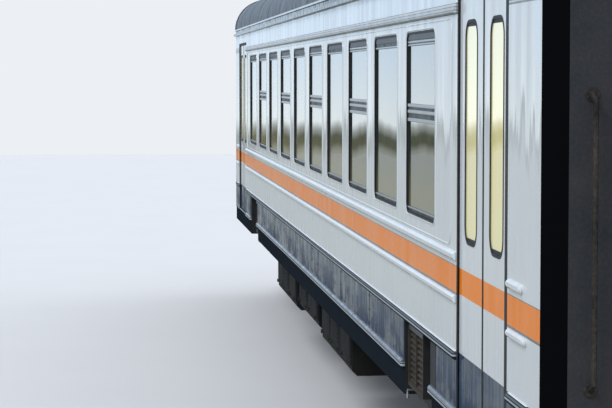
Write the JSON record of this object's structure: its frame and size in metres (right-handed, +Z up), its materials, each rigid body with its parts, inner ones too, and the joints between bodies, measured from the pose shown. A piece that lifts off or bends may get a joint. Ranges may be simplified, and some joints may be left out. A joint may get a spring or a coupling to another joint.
{
  "type": "passenger coach",
  "caption": "Intermediate passenger coach of a suburban electric train: ribbed steel side walls, sliding door pairs at both ends, gangways and swivelling bogies.",
  "frame": {"origin": "middle of the coach, on the level of the wheel flanges' lowest points, 30 mm below the rail head", "axes": "+X along the coach towards the end nearer the camera in the picture, +Y to its left side, +Z up"},
  "size_m": [20.49, 3.54, 4.39],
  "materials": {
    "body_paint": "gloss enamel, light blue grey with an orange stripe and a slate band",
    "door_paint": "gloss enamel, light blue grey over slate",
    "skirt_paint": "near-black enamel",
    "roof_paint": "dull dark blue-grey paint",
    "end_paint": "dark grey paint",
    "frame_paint": "matt black paint",
    "box_paint": "matt dark grey paint",
    "tank_paint": "satin black paint",
    "bogie_paint": "matt black paint under brake dust",
    "spring_steel": "satin black spring steel",
    "wheel_steel": "machined tread, oxide brown web",
    "cast_iron": "rough cast",
    "cast_steel": "rough cast, worn faces",
    "window_metal": "satin anodised",
    "glass": "tinted glazing",
    "door_glass": "glazing with warm light behind",
    "grille_paint": "dusty black paint",
    "gangway_rubber": "black rubberised fabric",
    "floor_cover": "worn brown floor sheet",
    "lining": "cream laminate",
    "seat_wood": "varnished slats",
    "rack_metal": "brushed"
  },
  "bodies": {
    "coach": {"side_wall_left": "body_paint", "side_wall_right": "body_paint", "corner_walls": "body_paint", "skirts": "skirt_paint", "cantrails": "body_paint", "roof": "roof_paint", "floor": "floor_cover", "sole_bars": "frame_paint", "centre_sill": "frame_paint", "cross_members": "frame_paint", "body_bolsters": "frame_paint", "end_walls": "end_paint", "partitions": "lining", "window_frames": "window_metal", "window_glass": "glass", "intake_grilles": "grille_paint", "gangways": "gangway_rubber", "seats": "seat_wood", "luggage_racks": "rack_metal", "couplers": "cast_steel", "equipment_boxes": "box_paint", "air_tanks": "tank_paint", "roof_vents": "roof_paint"},
    "door_front_left_outer": {"door_front_left_outer": "door_paint", "door_glass_front_left_outer": "door_glass"},
    "door_front_left_inner": {"door_front_left_inner": "door_paint", "door_glass_front_left_inner": "door_glass"},
    "door_front_right_outer": {"door_front_right_outer": "door_paint", "door_glass_front_right_outer": "door_glass"},
    "door_front_right_inner": {"door_front_right_inner": "door_paint", "door_glass_front_right_inner": "door_glass"},
    "door_rear_left_outer": {"door_rear_left_outer": "door_paint", "door_glass_rear_left_outer": "door_glass"},
    "door_rear_left_inner": {"door_rear_left_inner": "door_paint", "door_glass_rear_left_inner": "door_glass"},
    "door_rear_right_outer": {"door_rear_right_outer": "door_paint", "door_glass_rear_right_outer": "door_glass"},
    "door_rear_right_inner": {"door_rear_right_inner": "door_paint", "door_glass_rear_right_inner": "door_glass"},
    "end_door_front": {"end_door_front": "end_paint"},
    "partition_door_front": {"partition_door_front": "lining", "partition_glass_front": "glass"},
    "bogie_front": {"bogie_frame_front": "bogie_paint", "axle_boxes_front": "bogie_paint", "bogie_springs_front": "spring_steel", "brake_blocks_front": "cast_iron"},
    "end_door_rear": {"end_door_rear": "end_paint"},
    "partition_door_rear": {"partition_door_rear": "lining", "partition_glass_rear": "glass"},
    "bogie_rear": {"bogie_frame_rear": "bogie_paint", "axle_boxes_rear": "bogie_paint", "bogie_springs_rear": "spring_steel", "brake_blocks_rear": "cast_iron"},
    "wheelset_1": {"wheelset_1": "wheel_steel"},
    "wheelset_2": {"wheelset_2": "wheel_steel"},
    "wheelset_3": {"wheelset_3": "wheel_steel"},
    "wheelset_4": {"wheelset_4": "wheel_steel"}
  },
  "joints": [
    {"name": "door_front_left_outer_slide", "type": "slide", "parent": "coach", "child": "door_front_left_outer", "axis": [1, 0, 0], "range_m": [0, 0.61]},
    {"name": "door_front_left_inner_slide", "type": "slide", "parent": "coach", "child": "door_front_left_inner", "axis": [-1, 0, 0], "range_m": [0, 0.61]},
    {"name": "door_front_right_outer_slide", "type": "slide", "parent": "coach", "child": "door_front_right_outer", "axis": [1, 0, 0], "range_m": [0, 0.61]},
    {"name": "door_front_right_inner_slide", "type": "slide", "parent": "coach", "child": "door_front_right_inner", "axis": [-1, 0, 0], "range_m": [0, 0.61]},
    {"name": "door_rear_left_outer_slide", "type": "slide", "parent": "coach", "child": "door_rear_left_outer", "axis": [-1, 0, 0], "range_m": [0, 0.61]},
    {"name": "door_rear_left_inner_slide", "type": "slide", "parent": "coach", "child": "door_rear_left_inner", "axis": [1, 0, 0], "range_m": [0, 0.61]},
    {"name": "door_rear_right_outer_slide", "type": "slide", "parent": "coach", "child": "door_rear_right_outer", "axis": [-1, 0, 0], "range_m": [0, 0.61]},
    {"name": "door_rear_right_inner_slide", "type": "slide", "parent": "coach", "child": "door_rear_right_inner", "axis": [1, 0, 0], "range_m": [0, 0.61]},
    {"name": "end_door_front_hinge", "type": "hinge", "parent": "coach", "child": "end_door_front", "pos_m": [9.755, -0.4, 2.4], "axis": [0, 0, 1], "range_deg": [0, 90]},
    {"name": "partition_door_front_slide", "type": "slide", "parent": "coach", "child": "partition_door_front", "axis": [0, 1, 0], "range_m": [0, 0.9]},
    {"name": "bogie_front_swivel", "type": "hinge", "parent": "coach", "child": "bogie_front", "pos_m": [6.65, 0, 1.08], "axis": [0, 0, 1], "range_deg": [-4, 4]},
    {"name": "end_door_rear_hinge", "type": "hinge", "parent": "coach", "child": "end_door_rear", "pos_m": [-9.755, 0.4, 2.4], "axis": [0, 0, 1], "range_deg": [0, 90]},
    {"name": "partition_door_rear_slide", "type": "slide", "parent": "coach", "child": "partition_door_rear", "axis": [0, -1, 0], "range_m": [0, 0.9]},
    {"name": "bogie_rear_swivel", "type": "hinge", "parent": "coach", "child": "bogie_rear", "pos_m": [-6.65, 0, 1.08], "axis": [0, 0, 1], "range_deg": [-4, 4]},
    {"name": "wheelset_1_spin", "type": "hinge", "parent": "bogie_front", "child": "wheelset_1", "pos_m": [7.85, 0, 0.505], "axis": [0, 1, 0], "continuous": true},
    {"name": "wheelset_2_spin", "type": "hinge", "parent": "bogie_front", "child": "wheelset_2", "pos_m": [5.45, 0, 0.505], "axis": [0, 1, 0], "continuous": true},
    {"name": "wheelset_3_spin", "type": "hinge", "parent": "bogie_rear", "child": "wheelset_3", "pos_m": [-5.45, 0, 0.505], "axis": [0, 1, 0], "continuous": true},
    {"name": "wheelset_4_spin", "type": "hinge", "parent": "bogie_rear", "child": "wheelset_4", "pos_m": [-7.85, 0, 0.505], "axis": [0, 1, 0], "continuous": true}
  ],
  "couplings": [
    {"joint": "door_front_left_inner_slide", "follows": "door_front_left_outer_slide", "ratio": 1},
    {"joint": "door_front_right_inner_slide", "follows": "door_front_right_outer_slide", "ratio": 1},
    {"joint": "door_rear_left_inner_slide", "follows": "door_rear_left_outer_slide", "ratio": 1},
    {"joint": "door_rear_right_inner_slide", "follows": "door_rear_right_outer_slide", "ratio": 1}
  ]
}
